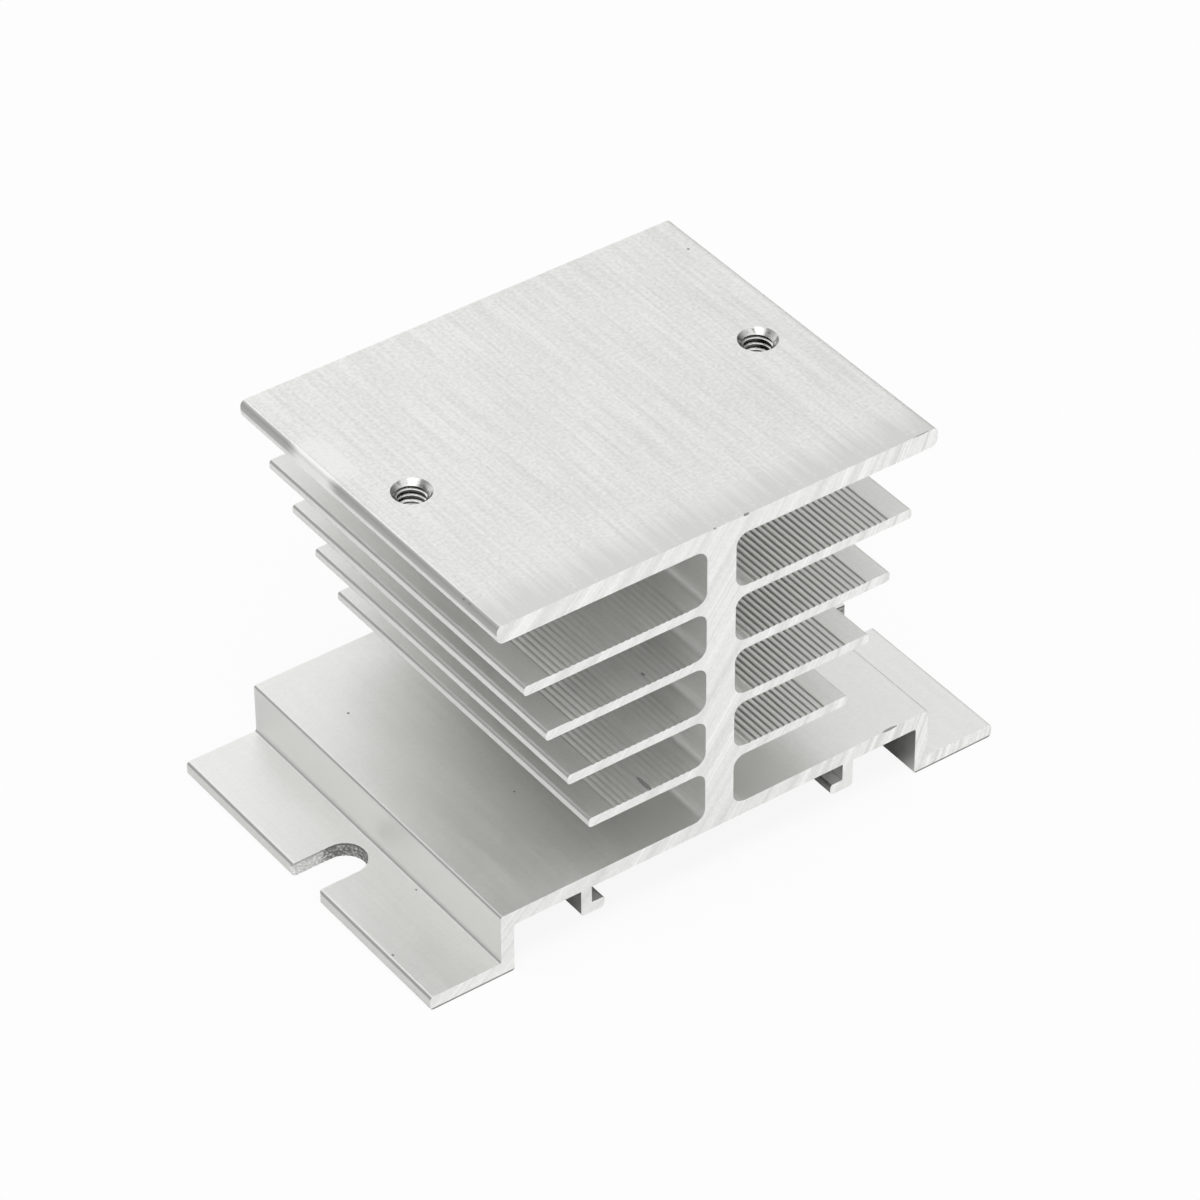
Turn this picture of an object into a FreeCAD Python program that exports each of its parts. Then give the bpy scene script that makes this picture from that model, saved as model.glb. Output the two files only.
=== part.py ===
# Finned aluminium heat sink for a single-phase solid state relay.
# It is one length of extrusion, sawn off square: a top plate for the relay, a web,
# four fins on each side, and a base that stands on two flanges. Two hooks under the
# base take a 35 mm rail. After sawing, the plate gets two tapped holes for the relay's
# screws, and each flange gets an open slot for a panel screw.
# X runs across the section, Y along the extrusion, Z up. The origin is on the floor,
# in the middle of the footprint. All sizes are in millimetres.

import FreeCAD, Part
import math
import os

import Sketcher

NODE = "heat_sink"
FIN_COUNT = 4

# A rounding takes at most this share of the wall that it rounds.
ROUNDING_SHARE = 0.45
# An edge counts as being at a place when it is this near, in millimetres.
PLACE_TOLERANCE = 1e-4
# How a sketch numbers the ends of a piece of geometry, and its own two axes.
START, END, CENTRE = range(1, 4)
ACROSS_AXIS, UP_AXIS = -1, -2

SIZES = {
    # the whole piece
    "overall_width": 80.0,
    "overall_height": 50.0,
    "cut_length": 50.0,
    # the relay's seat and the web that carries it
    "plate_width": 60.0,
    "plate_thickness": 2.5,
    "plate_edge_radius": 0.75,
    "plate_under_radius": 1.0,
    "web_thickness": 4.0,
    "root_radius": 1.5,
    # the fins: the widest is the top one, and each one below is a step shorter
    "top_fin_width": 53.2,
    "fin_step": 2.8,
    "fin_thickness": 1.35,
    "fin_tip_radius": 0.45,
    "top_gap_excess": 1.05,
    "bottom_gap_excess": 0.55,
    # the fine grooves along the upper side of each fin
    "groove_pitch": 0.8,
    "groove_width": 0.6,
    "groove_depth": 0.12,
    "plain_tip_width": 3.3,
    "plain_root_width": 0.3,
    # the base plate, its two risers and the flanges that stand on the floor
    "base_width": 60.6,
    "base_thickness": 2.0,
    "base_clearance": 6.75,
    "riser_thickness": 1.8,
    "flange_thickness": 1.9,
    "flange_edge_radius": 0.5,
    "corner_radius": 0.35,
    # the hooks: the rail, the play around it, and the feet that hold it
    "rail_width": 35.0,
    "rail_play": 0.6,
    "hook_thickness": 1.5,
    "hook_gap": 2.3,
    "hook_foot_thickness": 1.45,
    "hook_foot_reach": 1.75,
    "hook_corner_radius": 0.55,
    # the relay's two screws, of the 8-32 inch thread
    "screw_spacing": 47.6,
    "tap_drill": 3.4,
    "countersink_width": 4.8,
    "countersink_angle": 90.0,
    # the slots for panel screws
    "slot_width": 5.3,
    "slot_length": 8.0,
    "slot_mouth_radius": 0.6,
    # how far a cutting tool runs past the metal
    "tool_overrun": 1.0,
}


def make_sheet(doc):
    """Put every driving size in the document's spreadsheet, one named cell each."""
    sheet = doc.addObject("Spreadsheet::Sheet", "dims")
    for row, (name, value) in enumerate(SIZES.items(), start=1):
        sheet.set(f"A{row}", name)
        sheet.set(f"B{row}", str(value))
        sheet.setAlias(f"B{row}", name)
    doc.recompute()
    return sheet


doc = FreeCAD.newDocument("relay_heat_sink")
sheet = make_sheet(doc)


def number(expression):
    """The number that an expression on the sheet's cells gives."""
    return float(sheet.evalExpression(expression))


def smaller(radius, wall):
    """A radius as an expression, kept under half of the wall that it rounds."""
    return f"min(dims.{radius}; {ROUNDING_SHARE} * dims.{wall})"


# Places across the section, as expressions on the sheet. Each is a distance from the
# middle of the web or a height above the floor.
WEB_FACE = "dims.web_thickness / 2"
PLATE_EDGE = "dims.plate_width / 2"
PLATE_TOP = "dims.overall_height"
PLATE_UNDERSIDE = "(dims.overall_height - dims.plate_thickness)"
BASE_UNDERSIDE = "dims.base_clearance"
BASE_TOP = "(dims.base_clearance + dims.base_thickness)"
RISER_OUTER = "dims.base_width / 2"
RISER_INNER = "(dims.base_width / 2 - dims.riser_thickness)"
FLANGE_EDGE = "dims.overall_width / 2"
FLANGE_TOP = "dims.flange_thickness"
HOOK_FACE = "(dims.rail_width + dims.rail_play) / 2"
HOOK_BACK = f"({HOOK_FACE} + dims.hook_thickness)"
HOOK_TOE = f"({HOOK_FACE} - dims.hook_foot_reach)"
FOOT_TOP = "(dims.base_clearance - dims.hook_gap)"
HOOK_BOTTOM = f"({FOOT_TOP} - dims.hook_foot_thickness)"
SCREW_PLACE = "dims.screw_spacing / 2"
SLOT_END_CENTRE = f"({FLANGE_EDGE} - dims.slot_length + dims.slot_width / 2)"

# The fins share the height between base and plate. The gap under the plate and the gap
# over the base are a little wider than the others.
FIN_GAP = (
    f"(({PLATE_UNDERSIDE} - {BASE_TOP} - {FIN_COUNT} * dims.fin_thickness"
    f" - dims.top_gap_excess - dims.bottom_gap_excess) / {FIN_COUNT + 1})"
)


def fin_tip(index):
    """How far a fin reaches from the middle. Fin 0 is the one under the plate."""
    return f"(dims.top_fin_width / 2 - {index} * dims.fin_step)"


def fin_top(index):
    """The height of a fin's upper side."""
    return (
        f"({PLATE_UNDERSIDE} - dims.top_gap_excess - {FIN_GAP}"
        f" - {index} * ({FIN_GAP} + dims.fin_thickness))"
    )


def fin_underside(index):
    return f"({fin_top(index)} - dims.fin_thickness)"


def origin_feature(body, role):
    return next(item for item in body.Origin.OriginFeatures if item.Role == role)


def new_sketch(body, name, plane):
    sketch = body.newObject("Sketcher::SketchObject", name)
    sketch.AttachmentSupport = (origin_feature(body, plane), [""])
    sketch.MapMode = "FlatFace"
    return sketch


def bind_distance(sketch, kind, geometry, end, expression, name):
    """Hold one end of a line at a distance from the sketch's origin."""
    value = number(expression)
    origin = (ACROSS_AXIS, START)
    index = sketch.addConstraint(Sketcher.Constraint(kind, *origin, geometry, end, value))
    sketch.renameConstraint(index, name)
    sketch.setExpression(f"Constraints.{name}", expression)


def bind_radius(sketch, geometry, expression, name):
    index = sketch.addConstraint(Sketcher.Constraint("Radius", geometry, number(expression)))
    sketch.renameConstraint(index, name)
    sketch.setExpression(f"Constraints.{name}", expression)


def draw_outline(sketch, corners, name):
    """Draw a closed outline of straight lines through corners bound to the sheet.

    A corner is an (across, up) pair of expressions. "0" puts it on the axis.
    """
    points = [FreeCAD.Vector(number(x), number(z), 0) for x, z in corners]
    first = sketch.GeometryCount
    for start, end in zip(points, points[1:] + points[:1]):
        sketch.addGeometry(Part.LineSegment(start, end))
    count = len(corners)
    for index in range(count):
        follower = first + (index + 1) % count
        meeting = Sketcher.Constraint("Coincident", first + index, END, follower, START)
        sketch.addConstraint(meeting)
    for index, (across, up) in enumerate(corners):
        line = first + index
        if across == "0":
            sketch.addConstraint(Sketcher.Constraint("PointOnObject", line, START, UP_AXIS))
        else:
            bind_distance(sketch, "DistanceX", line, START, across, f"{name}_x{index}")
        if up == "0":
            sketch.addConstraint(Sketcher.Constraint("PointOnObject", line, START, ACROSS_AXIS))
        else:
            bind_distance(sketch, "DistanceY", line, START, up, f"{name}_z{index}")


def section_corners():
    """Half of the section, from the middle of the plate clockwise round to the web.

    Each corner is its place across, its height, and the radius that rounds it.
    """
    edge_radius = smaller("plate_edge_radius", "plate_thickness")
    under_radius = smaller("plate_under_radius", "plate_thickness")
    tip_radius = smaller("fin_tip_radius", "fin_thickness")
    flange_radius = smaller("flange_edge_radius", "flange_thickness")
    foot_radius = smaller("hook_corner_radius", "hook_foot_thickness")
    root_radius = "dims.root_radius"
    corner_radius = "dims.corner_radius"
    corners = [
        ("0", PLATE_TOP, None),
        (PLATE_EDGE, PLATE_TOP, edge_radius),
        (PLATE_EDGE, PLATE_UNDERSIDE, under_radius),
        (WEB_FACE, PLATE_UNDERSIDE, root_radius),
    ]
    for index in range(FIN_COUNT):
        corners += [
            (WEB_FACE, fin_top(index), root_radius),
            (fin_tip(index), fin_top(index), tip_radius),
            (fin_tip(index), fin_underside(index), tip_radius),
            (WEB_FACE, fin_underside(index), root_radius),
        ]
    corners += [
        (WEB_FACE, BASE_TOP, root_radius),
        (RISER_OUTER, BASE_TOP, corner_radius),
        (RISER_OUTER, FLANGE_TOP, corner_radius),
        (FLANGE_EDGE, FLANGE_TOP, flange_radius),
        (FLANGE_EDGE, "0", flange_radius),
        (RISER_INNER, "0", corner_radius),
        (RISER_INNER, BASE_UNDERSIDE, corner_radius),
        (HOOK_BACK, BASE_UNDERSIDE, None),
        (HOOK_BACK, HOOK_BOTTOM, foot_radius),
        (HOOK_TOE, HOOK_BOTTOM, foot_radius),
        (HOOK_TOE, FOOT_TOP, corner_radius),
        (HOOK_FACE, FOOT_TOP, None),
        (HOOK_FACE, BASE_UNDERSIDE, None),
        ("0", BASE_UNDERSIDE, None),
    ]
    return corners


def edges_along_extrusion(shape, places):
    """Names of the straight edges that run along Y through the given corners."""
    names = []
    for across, up in places:
        spot = FreeCAD.Vector(number(across), 0, number(up))
        for index, edge in enumerate(shape.Edges, start=1):
            ends = edge.Vertexes
            runs_along = len(ends) == 2 and abs(ends[0].Y - ends[1].Y) > edge.Length / 2
            if runs_along and edge.CenterOfMass.distanceToPoint(spot) < PLACE_TOLERANCE:
                names.append(f"Edge{index}")
                break
        else:
            raise ValueError(f"no edge at {spot}")
    return names


def extrude_section(body):
    """Pad half of the section and round its corners, one fillet for each radius."""
    corners = section_corners()
    sketch = new_sketch(body, "half_section", "XZ_Plane")
    draw_outline(sketch, [(across, up) for across, up, radius in corners], "section")
    pad = body.newObject("PartDesign::Pad", "extrusion")
    pad.Profile = sketch
    pad.SideType = "Symmetric"
    pad.setExpression("Length", "dims.cut_length")
    doc.recompute()
    rounded = {}
    for across, up, radius in corners:
        if radius:
            rounded.setdefault(radius, []).append((across, up))
    last = pad
    for count, (radius, places) in enumerate(rounded.items(), start=1):
        fillet = body.newObject("PartDesign::Fillet", f"rounding_{count}")
        fillet.Base = (last, edges_along_extrusion(last.Shape, places))
        fillet.setExpression("Radius", radius)
        doc.recompute()
        last = fillet
    return last


def cut_grooves(body, index):
    """Cut the fine grooves along the upper side of one fin, from its tip inwards."""
    groove_outer = f"({fin_tip(index)} - dims.plain_tip_width)"
    groove_inner = f"({groove_outer} - dims.groove_width)"
    groove_middle = f"({groove_outer} - dims.groove_width / 2)"
    groove_root = f"({WEB_FACE} + dims.root_radius + dims.plain_root_width)"
    sketch = new_sketch(body, f"groove_section_{index}", "XZ_Plane")
    corners = [
        (groove_inner, fin_top(index)),
        (groove_outer, fin_top(index)),
        (groove_middle, f"({fin_top(index)} - dims.groove_depth)"),
    ]
    draw_outline(sketch, corners, "groove")
    pocket = body.newObject("PartDesign::Pocket", f"groove_{index}")
    pocket.Profile = sketch
    pocket.SideType = "Symmetric"
    pocket.setExpression("Length", "dims.cut_length + 2 * dims.tool_overrun")
    doc.recompute()
    pattern = body.newObject("PartDesign::LinearPattern", f"grooves_{index}")
    pattern.Originals = [pocket]
    pattern.Direction = (origin_feature(body, "X_Axis"), [""])
    pattern.Reversed = True
    pattern.Mode = "Spacing"
    pattern.setExpression("Offset", "dims.groove_pitch")
    pattern.setExpression(
        "Occurrences",
        f"floor(({groove_inner} - {groove_root}) / dims.groove_pitch) + 1",
    )
    body.Tip = pattern
    doc.recompute()
    return pattern


def drill_screw_hole(body):
    """Drill, countersink and tap the plate for the relay's screw."""
    sketch = new_sketch(body, "screw_place", "XY_Plane")
    sketch.setExpression("AttachmentOffset.Base.z", PLATE_TOP)
    centre = FreeCAD.Vector(number(SCREW_PLACE), 0, 0)
    drill = Part.Circle(centre, FreeCAD.Vector(0, 0, 1), number("dims.tap_drill / 2"))
    circle = sketch.addGeometry(drill)
    sketch.addConstraint(Sketcher.Constraint("PointOnObject", circle, CENTRE, ACROSS_AXIS))
    bind_distance(sketch, "DistanceX", circle, CENTRE, SCREW_PLACE, "place")
    bind_radius(sketch, circle, "dims.tap_drill / 2", "drill_radius")
    doc.recompute()
    hole = body.newObject("PartDesign::Hole", "screw_hole")
    hole.Profile = sketch
    hole.DepthType = "Dimension"
    hole.DrillPoint = "Flat"
    hole.HoleCutType = "Countersink"
    hole.HoleCutCustomValues = True
    hole.setExpression("Diameter", "dims.tap_drill")
    hole.setExpression("Depth", "dims.plate_thickness + dims.tool_overrun")
    hole.setExpression("HoleCutDiameter", "dims.countersink_width")
    hole.setExpression("HoleCutCountersinkAngle", "dims.countersink_angle")
    doc.recompute()
    return hole


def punch_flange_slot(body):
    """Punch the open slot in the flange: straight sides, a round end, an eased mouth."""
    sketch = new_sketch(body, "slot_outline", "XY_Plane")
    half_width = number("dims.slot_width / 2")
    mouth = number("dims.slot_mouth_radius")
    edge = number(FLANGE_EDGE)
    outside = edge + number("dims.tool_overrun")
    end_place = number(SLOT_END_CENTRE)
    throat = edge - mouth
    corner = half_width + mouth
    up = FreeCAD.Vector(0, 0, 1)
    quarter = math.pi / 2

    def line(start, end):
        return Part.LineSegment(FreeCAD.Vector(*start, 0), FreeCAD.Vector(*end, 0))

    def arc(centre, radius, start, end):
        return Part.ArcOfCircle(Part.Circle(FreeCAD.Vector(*centre, 0), up, radius), start, end)

    cutoff, far_lip, far_mouth, far_side, round_end, near_side, near_mouth, near_lip = range(8)
    sketch.addGeometry([
        line((outside, -corner), (outside, corner)),
        line((outside, corner), (edge, corner)),
        arc((throat, corner), mouth, -quarter, 0),
        line((throat, half_width), (end_place, half_width)),
        arc((end_place, 0), half_width, quarter, 3 * quarter),
        line((end_place, -half_width), (throat, -half_width)),
        arc((throat, -corner), mouth, 0, quarter),
        line((edge, -corner), (outside, -corner)),
    ])
    sketch.addConstraint([
        Sketcher.Constraint("Coincident", cutoff, END, far_lip, START),
        Sketcher.Constraint("Coincident", far_lip, END, far_mouth, END),
        Sketcher.Constraint("Tangent", far_mouth, START, far_side, START),
        Sketcher.Constraint("Tangent", far_side, END, round_end, START),
        Sketcher.Constraint("Tangent", round_end, END, near_side, START),
        Sketcher.Constraint("Tangent", near_side, END, near_mouth, END),
        Sketcher.Constraint("Coincident", near_mouth, START, near_lip, START),
        Sketcher.Constraint("Coincident", near_lip, END, cutoff, START),
        Sketcher.Constraint("Vertical", cutoff),
        Sketcher.Constraint("Horizontal", far_lip),
        Sketcher.Constraint("Horizontal", far_side),
        Sketcher.Constraint("Horizontal", near_side),
        Sketcher.Constraint("Horizontal", near_lip),
        Sketcher.Constraint("Horizontal", far_mouth, CENTRE, far_mouth, END),
        Sketcher.Constraint("Horizontal", near_mouth, CENTRE, near_mouth, START),
        Sketcher.Constraint("Equal", far_mouth, near_mouth),
        Sketcher.Constraint("PointOnObject", round_end, CENTRE, ACROSS_AXIS),
    ])
    bind_distance(sketch, "DistanceX", cutoff, START, f"{FLANGE_EDGE} + dims.tool_overrun", "reach")
    bind_distance(sketch, "DistanceX", far_lip, END, FLANGE_EDGE, "far_edge")
    bind_distance(sketch, "DistanceX", near_lip, START, FLANGE_EDGE, "near_edge")
    bind_distance(sketch, "DistanceX", round_end, CENTRE, SLOT_END_CENTRE, "end_place")
    bind_radius(sketch, far_mouth, "dims.slot_mouth_radius", "mouth_radius")
    bind_radius(sketch, round_end, "dims.slot_width / 2", "end_radius")
    doc.recompute()
    pocket = body.newObject("PartDesign::Pocket", "slot")
    pocket.Profile = sketch
    pocket.Reversed = True
    pocket.setExpression("Length", "dims.flange_thickness + dims.tool_overrun")
    doc.recompute()
    return pocket


def mirror_half(body):
    """Mirror the finished half about the middle of the web, to make the whole piece."""
    mirrored = body.newObject("PartDesign::Mirrored", "other_half")
    mirrored.TransformMode = "Whole shape"
    mirrored.MirrorPlane = (origin_feature(body, "YZ_Plane"), [""])
    body.Tip = mirrored
    doc.recompute()
    return mirrored


def check_cut(before, after, what):
    """Print how much metal a cut took away, and stop if it took none."""
    volume = before - after
    print(f"{what} removes {volume:.2f} mm3")
    if volume <= 0:
        raise RuntimeError(f"{what} removes nothing")


def make_heat_sink():
    body = doc.addObject("PartDesign::Body", NODE)
    body.Label = NODE
    last = extrude_section(body)
    for index in range(FIN_COUNT):
        before = last.Shape.Volume
        last = cut_grooves(body, index)
        check_cut(before, last.Shape.Volume, f"fin {index} grooves ({last.Occurrences})")
    for what, cut in (("screw hole", drill_screw_hole), ("flange slot", punch_flange_slot)):
        before = last.Shape.Volume
        last = cut(body)
        check_cut(before, last.Shape.Volume, what)
    mirror_half(body)
    body.Placement = FreeCAD.Placement()
    doc.recompute()
    return body


def check_document():
    """Stop if any object failed or any sub-part is not one valid solid."""
    for item in doc.Objects:
        if "Invalid" in item.State or "Error" in item.State:
            raise RuntimeError(f"{item.Name} failed: {item.State}")
    for item in doc.Objects:
        if item.TypeId == "PartDesign::Body":
            if item.Shape.isNull() or not item.Shape.isValid() or len(item.Shape.Solids) != 1:
                raise RuntimeError(f"{item.Label} is not one valid solid")


heat_sink = make_heat_sink()
check_document()
os.makedirs("parts", exist_ok=True)
heat_sink.Shape.exportStep(f"parts/{heat_sink.Label}.step")

box = heat_sink.Shape.BoundBox
print(f"size {box.XLength:.3f} x {box.YLength:.3f} x {box.ZLength:.3f} mm")
print(f"volume {heat_sink.Shape.Volume:.1f} mm3, faces {len(heat_sink.Shape.Faces)}")
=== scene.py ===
# %% [markdown]
# The real part is one length of aluminium extrusion, sawn off, drilled, tapped and punched.
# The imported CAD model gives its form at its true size, so it comes first and stays as it is.
# Everything below adds what the tools left behind: a thread, torn slots, saw marks, broken
# edges, a few knocks and the finish of the metal. Lengths are metres, as in the frame, and
# MM turns millimetres into them.

# %% Load the frame and measure it
from collections import Counter
from math import pi, radians, tan

import bpy
from mathutils import Matrix, Vector


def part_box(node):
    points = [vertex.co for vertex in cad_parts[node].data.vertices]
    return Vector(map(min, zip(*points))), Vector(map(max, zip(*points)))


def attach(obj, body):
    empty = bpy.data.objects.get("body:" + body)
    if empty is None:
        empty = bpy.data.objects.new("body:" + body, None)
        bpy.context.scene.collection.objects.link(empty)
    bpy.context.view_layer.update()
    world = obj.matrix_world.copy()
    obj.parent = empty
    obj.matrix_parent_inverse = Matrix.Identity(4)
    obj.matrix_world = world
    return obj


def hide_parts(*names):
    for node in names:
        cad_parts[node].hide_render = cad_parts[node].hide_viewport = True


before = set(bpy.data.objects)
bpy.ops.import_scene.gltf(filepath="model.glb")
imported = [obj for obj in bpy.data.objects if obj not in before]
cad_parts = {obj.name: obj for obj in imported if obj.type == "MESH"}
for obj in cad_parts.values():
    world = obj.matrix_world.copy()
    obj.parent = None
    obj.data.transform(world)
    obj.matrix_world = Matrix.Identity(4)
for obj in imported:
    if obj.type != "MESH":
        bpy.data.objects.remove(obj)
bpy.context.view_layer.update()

MM = 0.001
low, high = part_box("heat_sink")
plate_top = high.z
print(f"the heat sink is {(high - low) / MM} mm")

# %% [markdown]
# The photograph was taken from the left front, well above the plate, with a long lens: its
# parallel edges hardly run together. A camera could be aimed by eye, but then no difference
# between render and photograph could be trusted. So it was fitted to the corners of the
# object, which gives its bearing, its height, a slight tilt and its distance. The focal
# length is in pixels of a picture that is 1200 pixels wide.

# %% Place the camera where the photograph was taken
VIEW_AZIMUTH = radians(-35.70)
VIEW_ELEVATION = radians(38.83)
VIEW_TILT = radians(-0.35)
VIEW_DISTANCE = 653.36 * MM
AIM_ACROSS = 1.115 * MM
AIM_UP = 18.18 * MM
FOCAL_PIXELS = 5577.75
IMAGE_PIXELS = 1200

bpy.ops.object.camera_add()
camera = bpy.context.object
camera.data.lens = camera.data.sensor_width * FOCAL_PIXELS / IMAGE_PIXELS
facing = (
    Matrix.Rotation(VIEW_AZIMUTH, 4, "Z")
    @ Matrix.Rotation(pi / 2 - VIEW_ELEVATION, 4, "X")
    @ Matrix.Rotation(VIEW_TILT, 4, "Z")
)
stand = facing @ Vector((AIM_ACROSS, AIM_UP, VIEW_DISTANCE))
camera.matrix_world = Matrix.Translation(stand) @ facing
bpy.context.scene.camera = camera
print(f"the lens is {camera.data.lens:.1f} mm")

# %% [markdown]
# A material is a web of nodes, and its arithmetic reads best as arithmetic. `Signal` stands
# for one output of a node. Its plus, minus, times and divide each add a Math node and hand
# back the result, so a pattern is written as one expression. The reflected forms, such as
# `__rsub__`, are what makes `1 - mask` work.


# %% Let the outputs of nodes take part in sums
class Signal:
    """One output of a node, with arithmetic that adds Math nodes."""

    def __init__(self, finish, socket):
        self.finish = finish
        self.socket = socket

    def maths(self, operation, first, second):
        return self.finish.node("Math", {"operation": operation}, {0: first, 1: second})

    def __add__(self, other):
        return self.maths("ADD", self, other)

    def __radd__(self, other):
        return self.maths("ADD", other, self)

    def __sub__(self, other):
        return self.maths("SUBTRACT", self, other)

    def __rsub__(self, other):
        return self.maths("SUBTRACT", other, self)

    def __mul__(self, other):
        return self.maths("MULTIPLY", self, other)

    def __rmul__(self, other):
        return self.maths("MULTIPLY", other, self)

    def __truediv__(self, other):
        return self.maths("DIVIDE", self, other)

    def __pow__(self, other):
        return self.maths("POWER", self, other)

    def __abs__(self):
        return self.maths("ABSOLUTE", self, 0)


print("sums of node outputs are ready")

# %% [markdown]
# `Finish` is the node tree of a material or of the world. Its `node` method makes any node:
# its settings come first, because some of them change its sockets, and then what feeds its
# inputs. Three small helpers save much repetition. `part` takes one number out of a vector,
# `between` is a soft step from nought to one, and `blend` is a colour between two others.


# %% Make the helpers for materials
class Finish:
    """The node tree of a material or a world."""

    def __init__(self, owner):
        owner.use_nodes = True
        self.tree = owner.node_tree

    def feed(self, socket, value):
        if isinstance(value, Signal):
            self.tree.links.new(value.socket, socket)
        else:
            socket.default_value = value

    def node(self, kind, settings=None, inputs=None, output=0):
        """Add a node, set it up, feed its inputs and return one of its outputs."""
        node = self.tree.nodes.new("ShaderNode" + kind)
        for name, value in (settings or {}).items():
            setattr(node, name, value)
        for name, value in (inputs or {}).items():
            self.feed(node.inputs[name], value)
        return Signal(self, node.outputs[output])

    def end(self, node, **inputs):
        """Feed the inputs of a node that the tree came with."""
        for name, value in inputs.items():
            self.feed(self.tree.nodes[node].inputs[name.replace("_", " ")], value)


def part(vector, axis):
    """One of a vector's three numbers."""
    return vector.finish.node("SeparateXYZ", inputs={0: vector}, output=axis)


def between(value, start, end):
    """A soft step, nought at the start and one at the end. The end may be the lower of the two."""
    return value.finish.node("MapRange", {"interpolation_type": "SMOOTHSTEP"}, {0: value, 1: start, 2: end})


def blend(share, first, second):
    """A colour between two."""
    return share.finish.node("Mix", {"data_type": "RGBA"}, {0: share, 6: first, 7: second}, 2)


print("helpers for materials are ready")

# %% [markdown]
# Bare metal shows what stands around it more than it shows a colour of its own. The studio
# is a grey sky, brighter in front of the part and behind it than at its sides, so that light
# runs along the extrusion and into the gaps between its fins. A large lamp above the camera
# gives the countersinks their white crescents. It is only a brighter patch of sky, which no
# other view can bump into. Its edge and its core are cosines of the angle from its heading.
# The camera itself sees plain white.

# %% Paint the sky
WHITE = (1, 1, 1, 1)
SKY_GLOW = 0.84
ALONG_GAIN = 0.80
FRONT_GAIN = 0.30
LAMP_HEADING = Vector((-0.50, -0.40, 0.77)).normalized()
LAMP_EDGE = 0.87
LAMP_CORE = 0.95
LAMP_GAIN = 1.3

world = bpy.data.worlds.new("studio")
bpy.context.scene.world = world
sky = Finish(world)
heading = sky.node("TexCoord", output="Generated")
across, along = part(heading, "X"), part(heading, "Y")
toward_lamp = sky.node("VectorMath", {"operation": "DOT_PRODUCT"}, {0: heading, 1: LAMP_HEADING}, "Value")
lamp = between(toward_lamp, LAMP_EDGE, LAMP_CORE)
sway = along * along - across * across
glow = SKY_GLOW * (1 + ALONG_GAIN * sway - FRONT_GAIN * along + LAMP_GAIN * lamp)
seen = sky.node("LightPath", output="Is Camera Ray")
sky.end("Background", Color=WHITE, Strength=glow + seen * (1 - glow))
print("the sky is painted")

# %% [markdown]
# The floor is white paper. Enough light to make it look white would also flood the part, so
# the camera sees mostly an even glow, and the lit paper mixed into it keeps a trace of the
# part's shadow. Under the base, where hardly any light gets in, the paper is painted dark as shade.

# %% Lay the floor
FLOOR_SIZE = 4.0
FLOOR_COLOUR = (0.82, 0.82, 0.82, 1)
FLOOR_ROUGHNESS = 0.9
SHADE_COLOUR = (0.12, 0.12, 0.12, 1)
SHADE_REACH = 32 * MM
SHADE_RIM = 4 * MM
CAMERA_GLOW = 0.92

bpy.ops.mesh.primitive_plane_add(size=FLOOR_SIZE)
floor = bpy.context.object
floor.name = "studio_floor"
white_paper = bpy.data.materials.new("white_paper")
floor.data.materials.append(white_paper)
paper = Finish(white_paper)
spot = paper.node("TexCoord", output="Object")


def covered(axis, reach):
    """One where the part stands above the paper, nought beyond its reach along an axis."""
    return between(abs(part(spot, axis)), reach, reach - SHADE_RIM)


# Painted shade: the paper's colour turns dark where the part stands over it.
painted_shade_tint = blend(covered("X", SHADE_REACH) * covered("Y", high.y), FLOOR_COLOUR, SHADE_COLOUR)
paper.end("Principled BSDF", Base_Color=painted_shade_tint, Roughness=FLOOR_ROUGHNESS, Specular_IOR_Level=0.0)
matt = Signal(paper, paper.tree.nodes["Principled BSDF"].outputs[0])
share = paper.node("LightPath", output="Is Camera Ray") * CAMERA_GLOW
lit = paper.node("Emission", inputs={"Color": WHITE, "Strength": 1.0})
paper.end("Material Output", Surface=paper.node("MixShader", inputs={0: share, 1: matt, 2: lit}))
print(f"the floor is {FLOOR_SIZE} m wide")

# %% [markdown]
# Operators act on what is selected, so modelling by code needs a way to say what that is.
# `pick` selects one object alone. `edit` opens its mesh with only the wanted edges or faces
# selected, which a short test on their place or direction tells, and `close` goes back.


# %% Make the helpers for modelling
def pick(obj):
    """Select one object alone."""
    bpy.ops.object.select_all(action="DESELECT")
    obj.select_set(True)
    bpy.context.view_layer.objects.active = obj


def edit(obj, kind, wanted):
    """Open a mesh for editing with only the wanted edges or faces selected."""
    pick(obj)
    mesh = obj.data
    for elements in (mesh.vertices, mesh.edges, mesh.polygons):
        elements.foreach_set("select", [False] * len(elements))
    elements = mesh.edges if kind == "EDGE" else mesh.polygons
    chosen = [element for element in elements if wanted(mesh, element)]
    for element in chosen:
        element.select = True
    bpy.ops.object.mode_set(mode="EDIT")
    bpy.ops.mesh.select_mode(type=kind)
    return len(chosen)


def close():
    """Go back from editing to whole objects."""
    bpy.ops.object.mode_set(mode="OBJECT")


def anything(mesh, element):
    """A test that every edge or face passes."""
    return True


print("helpers for modelling are ready")

# %% [markdown]
# The piece starts as a copy of the frame's mesh, because a frame mesh is never changed. The
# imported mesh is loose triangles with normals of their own. Merging them and dissolving the
# edges inside flat faces gives back the few faces that a modeller would have drawn, and
# each sawn end becomes one face whose outline can be picked.

# %% Copy the extrusion and clean its mesh
WELD = 0.001 * MM
FLAT = radians(0.2)

extrusion = bpy.data.objects.new("finned_extrusion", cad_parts["heat_sink"].data.copy())
bpy.context.scene.collection.objects.link(extrusion)
extrusion.data.materials.clear()
edit(extrusion, "FACE", anything)
bpy.ops.mesh.customdata_custom_splitnormals_clear()
bpy.ops.mesh.remove_doubles(threshold=WELD)
bpy.ops.mesh.dissolve_limited(angle_limit=FLAT)
close()
print(f"{len(extrusion.data.polygons)} faces are left after merging")
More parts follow.
